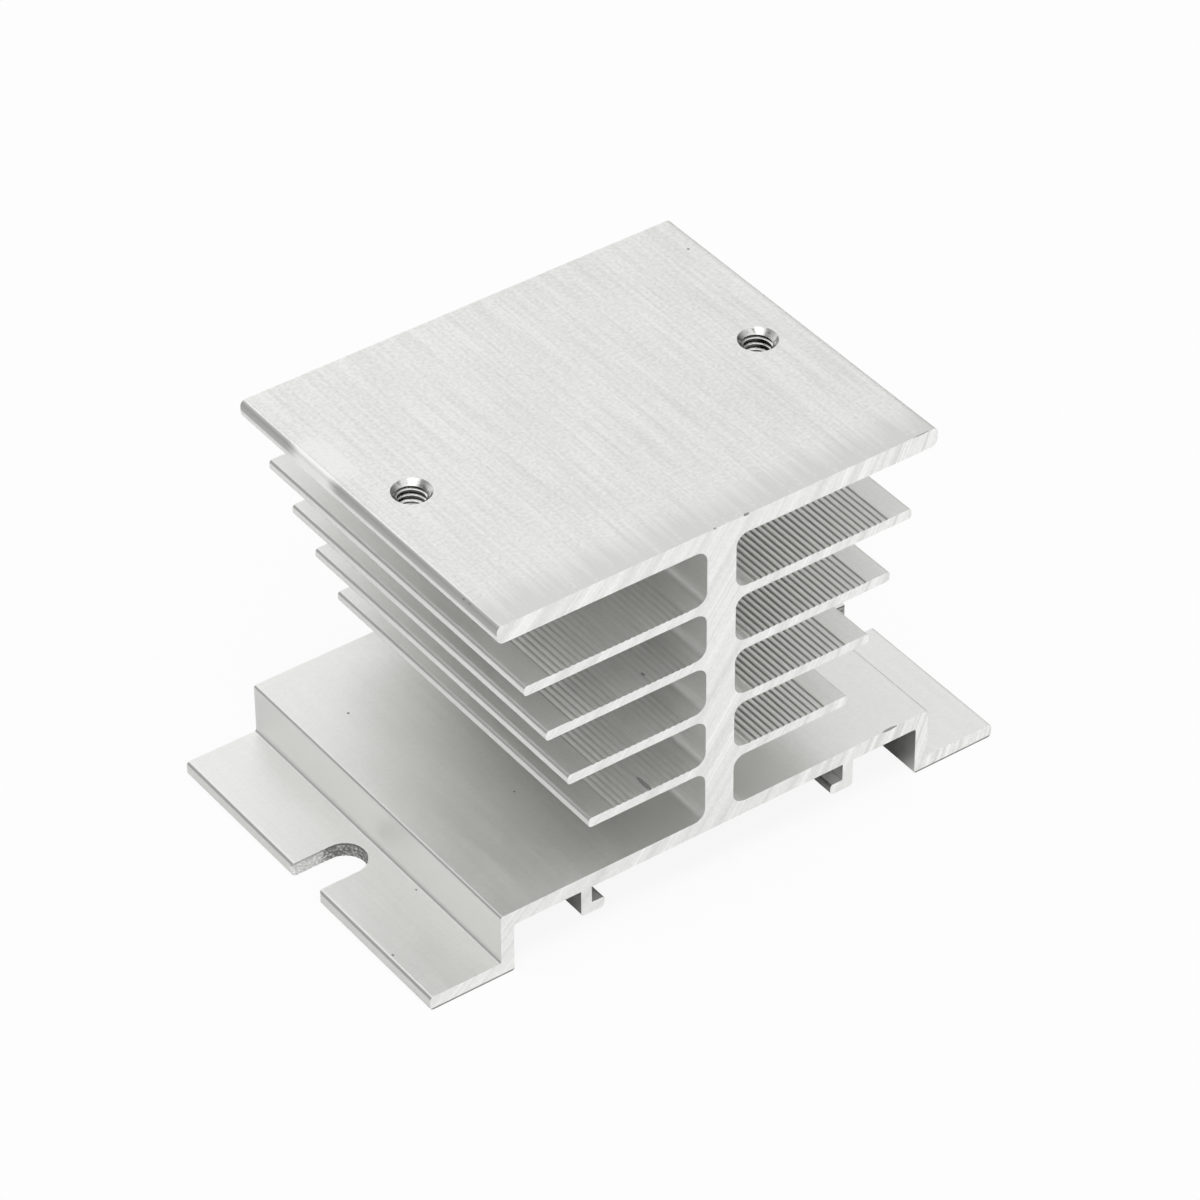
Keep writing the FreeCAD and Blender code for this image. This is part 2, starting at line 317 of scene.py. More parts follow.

# %% [markdown]
# Six finishes meet on this one piece: the mill finish of the extruded sides, the sawn ends,
# the torn walls of the punched slots, the drilled bores, the freshly cut metal of the
# threads and countersinks, and the painted shade in the knocks. Their materials are made now,
# empty, and each face takes its own while the faces are still few and easy to tell apart. A
# sawn end is told from a slot's straight wall, which has four corners, by its many corners.
# Cutters bring the finish that they leave behind. The materials are filled in at the end.

# %% Give every face its finish
MILL, SAWN, TORN = "mill_finish", "sawn_end", "torn_wall"
BORE, CUT, PIT = "drilled_bore", "cut_metal", "dark_pit"
SCREW_SPACING = 47.6 * MM
HOLE_REACH = 2.6 * MM
PLATE_DEPTH = 2.5 * MM
SLOT_REACH = 31.9 * MM
SLOT_HALF = 3.3 * MM
FLANGE_TOP = 1.9 * MM
WALL_CORNERS = 4
UPRIGHT = 0.05
SLANTING = 0.9
SQUARE = 0.99

materials = {name: bpy.data.materials.new(name) for name in (MILL, SAWN, TORN, BORE, CUT, PIT)}
slots = list(materials)
for material in materials.values():
    extrusion.data.materials.append(material)


def finish_name(face):
    """Which finish a face of the extrusion has, from its place and direction."""
    place = face.center
    across = abs(place.x) - SCREW_SPACING / 2
    upright = abs(face.normal.z) < UPRIGHT
    if abs(face.normal.y) > SQUARE and len(face.vertices) > WALL_CORNERS:
        return SAWN
    if abs(place.x) > SLOT_REACH and abs(place.y) < SLOT_HALF and place.z < FLANGE_TOP and upright:
        return TORN
    if (across ** 2 + place.y ** 2) ** 0.5 < HOLE_REACH and place.z > plate_top - PLATE_DEPTH - WELD:
        if upright:
            return BORE
        if abs(face.normal.z) < SLANTING:
            return CUT
    return MILL


for face in extrusion.data.polygons:
    face.material_index = slots.index(finish_name(face))
for name in slots:
    count = sum(slots[face.material_index] == name for face in extrusion.data.polygons)
    print(f"{name}: {count} faces")

# %% [markdown]
# From here on, solids are joined on and taken out with a Boolean modifier. All that one step
# adds or removes is first made one object, so that each step changes the metal only once.
# Its doubles are then merged, and the mesh is counted: a closed solid has exactly two faces
# at every edge. A cut in a mesh with an open edge can leave a lump where it should leave a
# hollow, so the script stops there.

# %% Make the tools that join and cut
def together(pieces):
    """Several pieces as one object."""
    pick(pieces[0])
    for piece in pieces:
        piece.select_set(True)
    bpy.ops.object.join()
    return pieces[0]


def open_edges(mesh):
    """How many edges do not have exactly two faces."""
    shared = Counter(key for face in mesh.polygons for key in face.edge_keys)
    return sum(count != 2 for count in shared.values())


def combine(obj, pieces, operation):
    """Add solids to another or take them out, and keep their own finish on their faces."""
    other = together(pieces)
    pick(obj)
    change = obj.modifiers.new("change", "BOOLEAN")
    change.operation = operation
    change.solver = "EXACT"
    change.material_mode = "TRANSFER"
    change.object = other
    bpy.ops.object.modifier_apply(modifier="change")
    bpy.data.objects.remove(other)
    edit(obj, "FACE", anything)
    bpy.ops.mesh.remove_doubles(threshold=WELD)
    close()
    unshared = open_edges(obj.data)
    if unshared:
        raise RuntimeError(f"the mesh has {unshared} open edges")


def subtract(obj, cutters):
    """Take all cutters out of a solid in one cut."""
    combine(obj, cutters, "DIFFERENCE")


print(f"the extrusion has {open_edges(extrusion.data)} open edges")

# %% [markdown]
# The CAD part has two holes of the tapping size. Through each the photograph shows one turn
# of thread more than the plate's thickness has room for, so the drill is taken to have
# pushed a short collar out of the underside. The collar could be a tube, but two walls that
# lie in each other are hard to join. A plain cylinder is joined on below instead, and
# because it closes the hole, a second one drills both.

# %% Drill the holes and leave their collars
BORE_RADIUS = 1.67 * MM
COLLAR_RADIUS = 2.55 * MM
COLLAR_HEIGHT = 0.5 * MM
COLLAR_OVERLAP = 0.2 * MM
BREAKOUT = 0.1 * MM
ROUND_SIDES = 64


def upright_round(place, radius, bottom, top, finish):
    """A solid cylinder between two heights, at a hole's place across."""
    bpy.ops.object.select_all(action="DESELECT")
    middle = (place, 0, (bottom + top) / 2)
    bpy.ops.mesh.primitive_cylinder_add(
        vertices=ROUND_SIDES, radius=radius, depth=top - bottom, location=middle
    )
    solid = bpy.context.object
    bpy.ops.object.transform_apply(location=True, rotation=False, scale=False)
    solid.data.materials.append(materials[finish])
    return solid


plate_under = plate_top - PLATE_DEPTH
collar_end = plate_under - COLLAR_HEIGHT
collar_start = plate_under + COLLAR_OVERLAP
holes = (-SCREW_SPACING / 2, SCREW_SPACING / 2)
collars = [upright_round(hole, COLLAR_RADIUS, collar_end, collar_start, CUT) for hole in holes]
combine(extrusion, collars, "UNION")
drills = [upright_round(hole, BORE_RADIUS, collar_end - BREAKOUT, plate_top, BORE) for hole in holes]
subtract(extrusion, drills)
print(f"two holes drilled, {len(extrusion.data.polygons)} faces")

# %% [markdown]
# The holes are tapped 8-32. The turns could be a bump on the bore's wall, but the photograph
# looks down into the holes, where each turn hides a part of the next, so they are cut. A tap
# leaves a V groove that climbs round the bore by one pitch a turn. The cutter is that V, set
# on edge beside the bore and swept up by a Screw modifier, with its two ends filled. Both
# threads are right-handed, which a mirror would spoil, so each hole gets its own cutter.

# %% Cut the screw threads
THREAD_PITCH = 0.794 * MM
THREAD_RADIUS = 2.083 * MM
CUTTER_INNER = 1.55 * MM
CREST_WIDTH = THREAD_PITCH / 8
FLANK = radians(30)
THREAD_TURNS = 6
TURN_STEPS = 60
THREAD_TOP = plate_top + 0.6 * MM
SECTION_SIDES = 4

groove_depth = THREAD_RADIUS - CUTTER_INNER
root_width = CREST_WIDTH + 2 * groove_depth * tan(FLANK)


def thread_cutter(place):
    """One V swept round and up through the plate, at a hole's place across."""
    bpy.ops.object.select_all(action="DESELECT")
    bpy.ops.mesh.primitive_plane_add(size=1, rotation=(pi / 2, 0, 0))
    cutter = bpy.context.object
    cutter.scale = (groove_depth, root_width, 1)
    cutter.location.x = (THREAD_RADIUS + CUTTER_INNER) / 2
    bpy.ops.object.transform_apply(location=True, rotation=True, scale=True)
    outermost = THREAD_RADIUS - WELD
    edit(cutter, "EDGE", lambda mesh, edge: all(mesh.vertices[v].co.x > outermost for v in edge.vertices))
    crest = (1, 1, CREST_WIDTH / root_width)
    bpy.ops.transform.resize(value=crest, center_override=(THREAD_RADIUS, 0, 0))
    bpy.ops.mesh.select_all(action="SELECT")
    bpy.ops.mesh.delete(type="ONLY_FACE")
    close()
    sweep = cutter.modifiers.new("sweep", "SCREW")
    sweep.screw_offset = THREAD_PITCH
    sweep.iterations = THREAD_TURNS
    sweep.steps = sweep.render_steps = TURN_STEPS
    bpy.ops.object.modifier_apply(modifier="sweep")
    edit(cutter, "FACE", anything)
    bpy.ops.mesh.fill_holes(sides=SECTION_SIDES)
    bpy.ops.mesh.select_all(action="SELECT")
    bpy.ops.mesh.normals_make_consistent(inside=False)
    close()
    cutter.location = (place, 0, THREAD_TOP - THREAD_TURNS * THREAD_PITCH)
    bpy.ops.object.transform_apply(location=True, rotation=False, scale=False)
    cutter.data.materials.append(materials[CUT])
    return cutter


subtract(extrusion, [thread_cutter(hole) for hole in holes])
print(f"two threads cut, {len(extrusion.data.polygons)} faces")

# %% [markdown]
# The two slots were punched. A punch shears the metal for part of the way and tears it for
# the rest, so the walls are rough and their rims are ragged. A bump on the smooth walls would
# leave the rims straight, so each slot is cut again by a punch that is a hair wider than it
# and rough all round. The punch is an open cylinder: its outer half is drawn out past the
# flange's edge, its wall is divided into steps of an eighth of a millimetre, and a Displace
# modifier with a cloud texture roughens it.

# %% Tear the slot walls
SLOT_CENTRE = 34.65 * MM
PUNCH_RADIUS = 2.67 * MM
PUNCH_HEIGHT = 2.6 * MM
PUNCH_RUN = 8.0 * MM
PUNCH_SIDES = 136
LONG_STEPS = 64
HIGH_STEPS = 20
TEAR_DEPTH = 0.16 * MM
TEAR_SIZE = 0.30 * MM
TEAR_DETAIL = 2

cloud = bpy.data.textures.new("tearing", "CLOUDS")
cloud.noise_scale = TEAR_SIZE
cloud.noise_depth = TEAR_DETAIL


def is_longer(length):
    """A test for edges that are longer than a length."""

    def test(mesh, edge):
        start, end = (mesh.vertices[v].co for v in edge.vertices)
        return (start - end).length > length

    return test


def punch(side):
    """A rough punch for the slot on one side, -1 for the left and 1 for the right."""
    bpy.ops.object.select_all(action="DESELECT")
    bpy.ops.mesh.primitive_cylinder_add(
        vertices=PUNCH_SIDES, radius=PUNCH_RADIUS, depth=PUNCH_HEIGHT, end_fill_type="NOTHING"
    )
    cutter = bpy.context.object
    edit(cutter, "EDGE", lambda mesh, edge: all(mesh.vertices[v].co.x * side > 0 for v in edge.vertices))
    bpy.ops.transform.translate(value=(side * PUNCH_RUN, 0, 0))
    close()
    edit(cutter, "EDGE", is_longer(PUNCH_RUN / 2))
    bpy.ops.mesh.subdivide(number_cuts=LONG_STEPS - 1)
    close()
    edit(cutter, "EDGE", is_longer(PUNCH_HEIGHT / 2))
    bpy.ops.mesh.subdivide(number_cuts=HIGH_STEPS - 1)
    close()
    roughen = cutter.modifiers.new("roughen", "DISPLACE")
    roughen.texture = cloud
    roughen.texture_coords = "LOCAL"
    roughen.strength = TEAR_DEPTH
    roughen.mid_level = 0.0
    bpy.ops.object.modifier_apply(modifier="roughen")
    edit(cutter, "EDGE", anything)
    bpy.ops.mesh.fill_holes(sides=0)
    bpy.ops.mesh.select_all(action="SELECT")
    bpy.ops.mesh.normals_make_consistent(inside=False)
    close()
    cutter.location = (side * SLOT_CENTRE, 0, FLANGE_TOP / 2)
    bpy.ops.object.transform_apply(location=True, rotation=False, scale=False)
    cutter.data.materials.append(materials[TORN])
    return cutter


subtract(extrusion, [punch(side) for side in (-1, 1)])
print(f"two slots torn, {len(extrusion.data.polygons)} faces")

# %% [markdown]
# The part has been knocked about a little. The photograph shows two nicks and a long shallow
# dent in the front edge of the plate, a scoop out of the front edge of the base, a black
# gouge along a groove of the lowest fin, a small nick in a fin above it, and pits in the
# plate, the base and the left flange. Dark spots could be painted there, but a real hollow
# also catches the light. So each is a squashed ball, roughened a little, that is taken out
# of the metal, and the hollow that it leaves is painted dark as well, as painted shade.

# %% Knock in the nicks and pits
BALL_DIVISIONS = 3
BALL_ROUGHNESS = 0.06
ROUGHNESS_SEED = 3
# place across, along and up, then length across, along and up, all in millimetres
KNOCKS = {
    "plate_nick": ((3.3, -25.0, 49.98), (0.80, 0.5, 0.35)),
    "small_plate_nick": ((-1.0, -25.0, 50.0), (0.40, 0.35, 0.25)),
    "plate_front_dent": ((27.6, -25.0, 50.05), (2.6, 0.24, 0.22)),
    "plate_pit": ((28.0, 18.9, 50.0), (0.3, 0.4, 0.12)),
    "edge_pit": ((-29.82, -19.7, 49.85), (0.25, 0.6, 0.3)),
    "second_edge_pit": ((-29.85, -18.6, 49.75), (0.25, 0.4, 0.25)),
    "fin_nick": ((-9.4, -23.2, 32.38), (0.35, 0.7, 0.2)),
    "fin_gouge": ((-9.62, -23.7, 17.0), (0.45, 2.9, 0.5)),
    "base_scoop": ((24.6, -25.0, 8.8), (2.2, 0.5, 0.5)),
    "base_pit": ((-24.2, 14.3, 8.75), (0.3, 0.4, 0.06)),
    "second_base_pit": ((-16.7, -8.4, 8.75), (0.25, 0.3, 0.06)),
    "flange_pit": ((-39.3, -16.7, 1.9), (0.3, 0.4, 0.1)),
    "second_flange_pit": ((-31.0, -9.2, 1.9), (0.25, 0.3, 0.08)),
}


def knock_cutter(place, lengths):
    """A squashed, uneven ball."""
    bpy.ops.object.select_all(action="DESELECT")
    bpy.ops.mesh.primitive_ico_sphere_add(subdivisions=BALL_DIVISIONS, radius=0.5)
    cutter = bpy.context.object
    edit(cutter, "FACE", anything)
    bpy.ops.transform.vertex_random(offset=BALL_ROUGHNESS, seed=ROUGHNESS_SEED)
    close()
    cutter.scale = Vector(lengths) * MM
    cutter.location = Vector(place) * MM
    bpy.ops.object.transform_apply(location=True, rotation=False, scale=True)
    cutter.data.materials.append(materials[PIT])
    return cutter


subtract(extrusion, [knock_cutter(place, lengths) for place, lengths in KNOCKS.values()])
print(f"{len(KNOCKS)} knocks, {len(extrusion.data.polygons)} faces")

# %% [markdown]
# A saw leaves a sharp edge with a fine burr, and handling wears it to a narrow bright line.
# A Bevel modifier would also take the edges of the grooves, which the die keeps sharp. Here
# only the edges round the two ends get a bevel, of a few hundredths of a millimetre. They
# are found by their place: both of their corners lie in an end. The rims of the knocks are
# sharp on the real part too, so edges next to a knock are left alone. The bevel comes after
# all cuts, because on the tightest roundings it folds, and a folded mesh can't be cut well.

# %% Break the sawn edges
EDGE_BREAK = 0.06 * MM
BREAK_STEPS = 2
END_PLACE = high.y


def corners_of(mesh, finish):
    """The corners of all faces that have a finish."""
    index = slots.index(finish)
    return {v for face in mesh.polygons if face.material_index == index for v in face.vertices}


knocked = corners_of(extrusion.data, PIT)


def in_an_end(mesh, edge):
    """A test for edges that lie in a sawn end and don't touch a knock."""
    level = all(abs(abs(mesh.vertices[v].co.y) - END_PLACE) < WELD for v in edge.vertices)
    return level and knocked.isdisjoint(edge.vertices)


count = edit(extrusion, "EDGE", in_an_end)
bpy.ops.mesh.bevel(offset=EDGE_BREAK, segments=BREAK_STEPS, clamp_overlap=False)
close()
print(f"{count} sawn edges are broken")

# %% [markdown]
# Shading comes last. Edges under thirty degrees are smoothed, apart from those between two
# finishes, which stay sharp, so that the rim of a pit can't bend the light on the flat face
# round it. Weighted normals then keep the flat faces flat up to their rounded edges. The
# piece rides on the only body, and the CAD node that it was copied from is hidden.

# %% Smooth the rounded faces and keep the flat ones flat
SMOOTH_LIMIT = radians(30)


def at_a_border(mesh):
    """The keys of the edges where two finishes meet."""
    seen = {}
    for face in mesh.polygons:
        for key in face.edge_keys:
            seen.setdefault(key, set()).add(face.material_index)
    return {key for key, finishes in seen.items() if len(finishes) > 1}


border = at_a_border(extrusion.data)
count = edit(extrusion, "EDGE", lambda mesh, edge: edge.key in border)
bpy.ops.mesh.mark_sharp()
close()
bpy.ops.object.shade_smooth_by_angle(angle=SMOOTH_LIMIT, keep_sharp_edges=True)
weigh = extrusion.modifiers.new("weigh", "WEIGHTED_NORMAL")
weigh.keep_sharp = True
bpy.ops.object.modifier_apply(modifier="weigh")
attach(extrusion, "root")
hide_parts("heat_sink")
print(f"{count} edges between finishes are sharp")

# %% [markdown]
# Pictures of metal could be wrapped round the part, but they have seams, and here they would
# have to be laid in every gap. The patterns are noise instead, worked out from the object's
# own coordinates in millimetres. `waves` gives cloudy noise whose blobs have a chosen size
# along each axis. Blobs that are long in Y and narrow across it are the lines that an
# extrusion die draws. `relief` turns a pattern into a bump.


# %% Make the patterns that the finishes share
def place_on(finish):
    """The place on the object, in millimetres."""
    corner = finish.node("TexCoord", output="Object")
    return finish.node("VectorMath", {"operation": "SCALE"}, {0: corner, "Scale": 1 / MM})


def waves(place, size, detail=2.0):
    """Noise around zero, about one high, with blobs of a size along each axis."""
    stretch = tuple(1 / length for length in size)
    scaled = place.finish.node("VectorMath", {"operation": "MULTIPLY"}, {0: place, 1: stretch})
    noise = place.finish.node("TexNoise", inputs={"Vector": scaled, "Scale": 1.0, "Detail": detail})
    return (noise - 0.5) * 2


def relief(height, depth):
    """Normals for a height pattern whose full swing is a depth in millimetres."""
    return height.finish.node("Bump", inputs={"Strength": 1.0, "Distance": depth * MM, "Height": height})


print("patterns are ready")

# %% [markdown]
# Mill finish isn't the same all over, and much of what changes here is painted light and
# shade. In the photograph the roundings and groove sides that face up and left are darker, and
# so are the walls that face left, the plate's left shoulder and the lower lips of the left
# fins. The roundings and the shoulder get painted dark lines, a painted reflection of dark
# surroundings, and the lips and the walls get painted shade. All is a little darker towards
# the web, as painted shade. The base is painted lighter than the fins, a painted light, but
# darker deep under them, as painted shade. A painted highlight lies on the plate's left edge,
# and the front of the relay's seat is worn. More materials could hold all this, but their
# borders would be hard. So each is a mask inside one material, made of soft steps over a
# place or a direction. The pairs below are the start and the end of such a step. OUT, ALONG
# and UP are millimetres from the middle, along the part and up. LEAN and DROP say how far a
# face turns left and down.

# %% Find where the mill finish changes and where light and shade are painted
LEFT_HALF, RIGHT_HALF = (0.0, -1.0), (0.0, 1.0)
WEB_OUT = (4.3, 5.0)
CURVE_LEAN = (0.22, 0.36)
CORNER_LEAN = (0.28, 0.46)
RIGHT_LEAN = 0.09
WEB_CORNERS = 0.35
WALL_LEAN = (0.8, 0.95)
SHOULDER_OUT, SHOULDER_UP = (28.5, 29.0), (48.6, 49.0)
LIP_LEAN, LIP_DROP, LIP_UP = (0.3, 0.5), (-0.3, -0.5), (45.0, 44.0)
FLARE_OUT, FLARE_UP = (25.5, 28.5), (47.0, 47.5)
FLARE_MIDDLE, FLARE_ALONG = 10.5, (5.5, 2.5)
ROOT_OUT, ROOT_UP = (10.0, 4.0), (47.8, 47.4)
BASE_UP = (9.4, 9.0)
DEEP_OUT = (20.0, 8.0)
SEAT_UP = (49.5, 49.95)
WORN_ALONG = (-18.0, -25.5)

mill = Finish(materials[MILL])
place = place_on(mill)
across, along, height = (part(place, axis) for axis in "XYZ")
outward = abs(across)
direction = mill.node("TexCoord", output="Normal")
leftward, upward = part(direction, "X") * -1, part(direction, "Z")
tilt = leftward * upward
on_right = between(across, *RIGHT_HALF)
beyond_web = between(outward, *WEB_OUT)
curved = between(abs(tilt), *CURVE_LEAN) * beyond_web
# Walls that face left get painted shade, and the plate's left shoulder a painted dark line.
wall = between(leftward, *WALL_LEAN)
# A painted highlight: the bright flare on the plate's left edge.
painted_flare = between(outward, *FLARE_OUT) * between(abs(along - FLARE_MIDDLE), *FLARE_ALONG)
painted_flare = painted_flare * between(across, *LEFT_HALF) * between(height, *FLARE_UP)
shoulder = wall * between(outward, *SHOULDER_OUT) * between(height, *SHOULDER_UP)
# The lips get painted shade, and the corners a painted reflection of dark surroundings.
lip = between(leftward, *LIP_LEAN) * between(upward, *LIP_DROP) * between(height, *LIP_UP)
corner = between(tilt + on_right * RIGHT_LEAN, *CORNER_LEAN)
corner = corner * (WEB_CORNERS + beyond_web * (1 - WEB_CORNERS))
painted_dark_lines = (corner + shoulder + lip) * (1 - painted_flare)
# Painted shade near the web and deep under the fins, and painted light on the base.
root = between(outward, *ROOT_OUT) * between(height, *ROOT_UP)
base = between(height, *BASE_UP)
deep = base * between(outward, *DEEP_OUT)
seat = between(height, *SEAT_UP)
worn = between(along, *WORN_ALONG) * seat
print(f"{len(mill.tree.nodes)} nodes so far in the mill finish")

# %% [markdown]
# Mill finish is what the die leaves: a pale satin with fine lines along the extrusion, some
# cloudiness from the hot metal and a few longer scratches. The lines are far too fine for
# the mesh, so they change the colour and the roughness a little, and a bump tilts the
# surface so that light spreads across them. They show most on the seat. Everything curved
# is a little smoother. A name with SIZE gives a pattern's blobs in millimetres, one with
# SHARE how much of the pattern goes into the colour, and one with RISE how much goes into
# the relief.

# %% Mill finish
MILL_DULL = (0.82, 0.825, 0.80, 1)
MILL_BRIGHT = (1.0, 1.0, 0.985, 1)
MILL_PAINTED_DARK = (0.50, 0.50, 0.49, 1)
MILL_TONE = 0.60
STREAK_SHARE, SPECKLE_SHARE, LINE_SHARE, CLOUD_SHARE, SCRATCH_SHARE = 0.70, 0.75, 0.25, 0.20, 0.35
STREAK_RISE, LINE_RISE, SPECKLE_RISE, SCRATCH_RISE = 0.6, 0.6, 0.3, 0.4
PLAIN_SHARE, PLAIN_RISE = 0.3, 0.4
STREAK_SIZE, LINE_SIZE, SCRATCH_SIZE = (0.5, 16.0, 0.5), (1.4, 60.0, 1.4), (0.2, 5.0, 0.2)
SPECKLE_SIZE, CLOUD_SIZE = (0.45, 0.45, 0.45), (6.0, 11.0, 6.0)
SCRATCH_EDGE = (0.42, 0.70)
MILL_DEPTH = 0.006
EDGE_WEAR, EDGE_SPECKLE = 0.75, 1.5
BASE_PAINTED_LIGHT, FLARE_LIGHT = 0.25, 0.5
WALL_SHADE, BASE_WALL_SHADE, ROOT_SHADE, DEEP_SHADE = 0.25, 0.7, 0.1, 0.9
MILL_ROUGHNESS = 0.48
STREAK_ROUGHNESS, CLOUD_ROUGHNESS, CURVE_POLISH = 0.06, 0.08, 0.12

streaks = waves(place, STREAK_SIZE)
speckle = waves(place, SPECKLE_SIZE, detail=1.0)
die_lines = waves(place, LINE_SIZE, detail=3.0)
cloudiness = waves(place, CLOUD_SIZE, detail=3.0)
scratches = between(waves(place, SCRATCH_SIZE, detail=1.0), *SCRATCH_EDGE)
lines = streaks * STREAK_RISE + die_lines * LINE_RISE + speckle * SPECKLE_RISE - scratches * SCRATCH_RISE
texture = streaks * STREAK_SHARE + speckle * SPECKLE_SHARE + die_lines * LINE_SHARE
texture = texture + cloudiness * CLOUD_SHARE - scratches * SCRATCH_SHARE
texture = texture * (PLAIN_SHARE + seat * (1 - PLAIN_SHARE)) - worn * (EDGE_WEAR + speckle * EDGE_SPECKLE)
# Painted light on the base and the painted highlight are added, and painted shade is taken off.
tone = MILL_TONE + texture + base * BASE_PAINTED_LIGHT + painted_flare * FLARE_LIGHT
tone = tone - wall * (WALL_SHADE + base * BASE_WALL_SHADE) - root * ROOT_SHADE - deep * DEEP_SHADE
mill.end(
    "Principled BSDF",
    Base_Color=blend(painted_dark_lines, blend(tone, MILL_DULL, MILL_BRIGHT), MILL_PAINTED_DARK),
    Metallic=1.0,
    Roughness=MILL_ROUGHNESS
    + streaks * STREAK_ROUGHNESS
    + cloudiness * CLOUD_ROUGHNESS
    - curved * CURVE_POLISH,
    Normal=relief(lines * (PLAIN_RISE + seat * (1 - PLAIN_RISE)), MILL_DEPTH),
)
print(f"mill finish done, {len(mill.tree.nodes)} nodes")

# %% [markdown]
# A large circular saw cut the ends. Every tooth draws an arc of the blade's own radius, and
# the arcs follow each other as the blade comes down. Noise stretched along one line would
# be simpler, but its marks would all lean alike. In the photograph they lean more steeply
# to the right, which gives the radius and the place of the blade. How far the blade had come
# down when it passed a point is that point's height plus the height of the arc, and noise
# along that one length makes the marks. They are heavier to the right. The lowest edge, where
# the end meets the floor, is painted dark as a painted contact shadow.

# %% Sawn ends
BLADE_RADIUS = 235.0
BLADE_PLACE = -190.0
TOOTH_STEP = 0.55
CHATTER_STEP = 3.0
WANDER_SIZE, WANDER = 2.5, 0.15
FLECK_SIZE = 0.35
HEAVY_ACROSS, HEAVY_GAIN = (8.0, 26.0), 0.8
CONTACT_SHADOW_UP = (0.34, 0.16)
SAWN_DULL = (0.72, 0.725, 0.71, 1)
SAWN_BRIGHT = (0.94, 0.94, 0.93, 1)
SAWN_CONTACT_SHADOW = (0.22, 0.22, 0.21, 1)
SAWN_TONE = 0.55
TEETH_SHARE, CHATTER_SHARE, FLECK_SHARE = 0.40, 0.55, 0.35
TEETH_RISE, CHATTER_RISE, FLECK_RISE = 0.6, 1.2, 0.3
SAWN_DEPTH = 0.02
SAWN_ROUGHNESS, TEETH_ROUGHNESS = 0.60, 0.10
SAWN_METAL = 0.5

sawn = Finish(materials[SAWN])
place = place_on(sawn)
across, up = part(place, "X"), part(place, "Z")
from_blade = across - BLADE_PLACE
descent = up + (BLADE_RADIUS ** 2 - from_blade * from_blade) ** 0.5
wander = waves(place, (WANDER_SIZE,) * 3)


def marks(step, detail):
    """Noise along the blade's descent."""
    inputs = {"W": (descent + wander * WANDER) / step, "Scale": 1.0, "Detail": detail}
    return (sawn.node("TexNoise", {"noise_dimensions": "1D"}, inputs) - 0.5) * 2


teeth = marks(TOOTH_STEP, detail=2.0)
chatter = marks(CHATTER_STEP, detail=1.0)
fleck = waves(place, (FLECK_SIZE,) * 3)
heavy = between(across, *HEAVY_ACROSS)
cut_marks = (teeth * TEETH_SHARE + chatter * CHATTER_SHARE) * (1 + heavy * HEAVY_GAIN)
tone = SAWN_TONE + cut_marks + fleck * FLECK_SHARE
# A painted contact shadow: the lowest edge of each end is coloured dark.
contact_shadow = between(up, *CONTACT_SHADOW_UP)
sawn.end(
    "Principled BSDF",
    Base_Color=blend(contact_shadow, blend(tone, SAWN_DULL, SAWN_BRIGHT), SAWN_CONTACT_SHADOW),
    Metallic=SAWN_METAL,
    Roughness=SAWN_ROUGHNESS + teeth * TEETH_ROUGHNESS,
    Normal=relief(teeth * TEETH_RISE + chatter * CHATTER_RISE + fleck * FLECK_RISE, SAWN_DEPTH),
)
print(f"sawn ends done, {len(sawn.tree.nodes)} nodes")

# %% [markdown]
# Torn metal is dull and speckled, and its upper rim is painted darker, as painted shade. The
# tearing itself is in the mesh, so this finish only adds grains that are finer than the mesh.
# In the photograph the left slot's round end is darker and more speckled than its straight
# sides, and what shows of the right slot is darker too, which is painted here as shade.

# %% Torn walls
TORN_DULL = (0.22, 0.22, 0.21, 1)
TORN_BRIGHT = (0.96, 0.96, 0.95, 1)
TORN_TONE = 0.76
TORN_SPECKLE = (0.35, 0.35, 0.28)
SPECKLE_CONTRAST, END_CONTRAST = 0.9, 0.6
RIM_UP, RIM_SHADE = (1.45, 1.80), 0.4
END_OUT, END_SHADE = (36.6, 34.4), 0.6
RIGHT_SLOT_SHADE = 0.5
TORN_DEPTH = 0.05
TORN_METAL = 0.7
TORN_ROUGHNESS, TORN_ROUGHNESS_SWING = 0.5, 0.2

torn = Finish(materials[TORN])
place = place_on(torn)
across, height = part(place, "X"), part(place, "Z")
speckle = waves(place, TORN_SPECKLE, detail=3.0)
rim = between(height, *RIM_UP)
round_end = between(abs(across), *END_OUT)
# The upper rim is painted darker as shade.
tone = TORN_TONE + speckle * (SPECKLE_CONTRAST + round_end * END_CONTRAST) - rim * (RIM_SHADE + speckle)
# The right slot is painted darker as shade.
tone = tone - round_end * END_SHADE - between(across, *RIGHT_HALF) * RIGHT_SLOT_SHADE
torn.end(
    "Principled BSDF",
    Base_Color=blend(tone, TORN_DULL, TORN_BRIGHT),
    Metallic=TORN_METAL,
    Roughness=TORN_ROUGHNESS + speckle * TORN_ROUGHNESS_SWING,
    Normal=relief(speckle, TORN_DEPTH),
)
print(f"torn walls done, {len(torn.tree.nodes)} nodes")

# %% [markdown]
# The flanks that a tap or a countersink cut are bright, with fine rings from the tool, and
# inside the hole the thread's flanks are painted lighter still, as painted light. The drilled
# bore between the turns and the outer part of the thread, in its roots, are painted dark, as
# painted shade. Cutting oil stains parts of the countersink. The rings are noise whose blobs
# are wide and very low, and the painted shade in the roots is found by how far a point lies
# from the hole's axis.

# %% Drilled bores and cut metal
RING_SIZE = (1.2, 1.2, 0.08)
